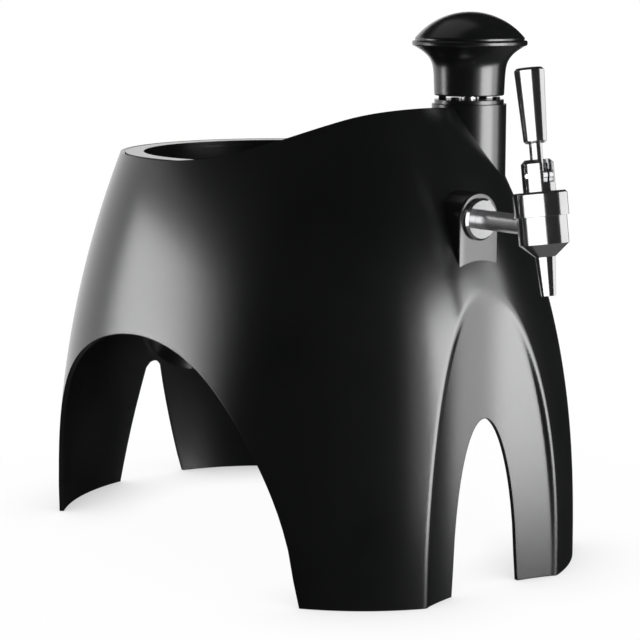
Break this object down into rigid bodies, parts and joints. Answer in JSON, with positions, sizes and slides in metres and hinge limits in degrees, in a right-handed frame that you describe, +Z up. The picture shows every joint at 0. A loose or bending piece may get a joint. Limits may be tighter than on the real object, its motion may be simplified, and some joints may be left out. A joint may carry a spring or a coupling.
{
  "type": "mini keg beer dispenser",
  "caption": "Table dispenser for a small party keg: arched black shell with a round keg well, a hand air pump and a chrome lever tap.",
  "frame": {"origin": "middle of the object's outline, on the counter", "axes": "+Z up, -Y towards the tap's front, +X to the side that carries the pump"},
  "size_m": [0.2598, 0.4198, 0.341],
  "materials": {
    "shell_black": "fine-grained satin black moulding",
    "inner_gloss": "smooth glossy black moulding",
    "pump_black": "smooth satin black moulding",
    "chrome": "polished chrome plate",
    "steel": "plain stainless steel",
    "nylon": "natural nylon",
    "barrel_clear": "grey moulded barrel",
    "rubber": "black rubber"
  },
  "bodies": {
    "housing": {"housing_shell": "shell_black", "keg_liner": "inner_gloss", "keg_ring": "inner_gloss", "front_deck": "inner_gloss", "liner_screws": "steel", "deck_screws": "steel", "pump_sleeve": "pump_black", "pump_guide": "pump_black", "pump_barrel": "barrel_clear", "barrel_gland": "nylon", "check_valve": "rubber", "air_barb": "nylon", "tap_rose": "chrome", "tap_shank": "chrome", "shank_washer": "rubber", "shank_nut": "steel", "beer_barb": "steel", "tap_body": "chrome", "tap_nozzle": "chrome", "tap_collar": "chrome", "tap_bonnet": "chrome", "lever_pin": "steel"},
    "pump_handle": {"pump_cap": "pump_black", "pump_grip": "pump_black", "pump_rod": "steel", "pump_piston": "nylon", "piston_seal": "rubber"},
    "lever": {"tap_lever": "chrome", "tap_handle": "chrome"},
    "valve": {"valve_stem": "steel", "valve_disc": "rubber"}
  },
  "joints": [
    {"name": "pump_stroke", "type": "slide", "parent": "housing", "child": "pump_handle", "axis": [0, 0, 1], "range_m": [0, 0.06]},
    {"name": "lever_swing", "type": "hinge", "parent": "housing", "child": "lever", "pos_m": [0, -0.19015, 0.25108], "axis": [1, 0, 0], "range_deg": [0, 35]},
    {"name": "valve_slide", "type": "slide", "parent": "housing", "child": "valve", "axis": [0, -0.1478, -0.989], "range_m": [0, 0.0016]}
  ],
  "couplings": [
    {"joint": "valve_slide", "follows": "lever_swing", "m_per_rad": 0.0026192}
  ]
}
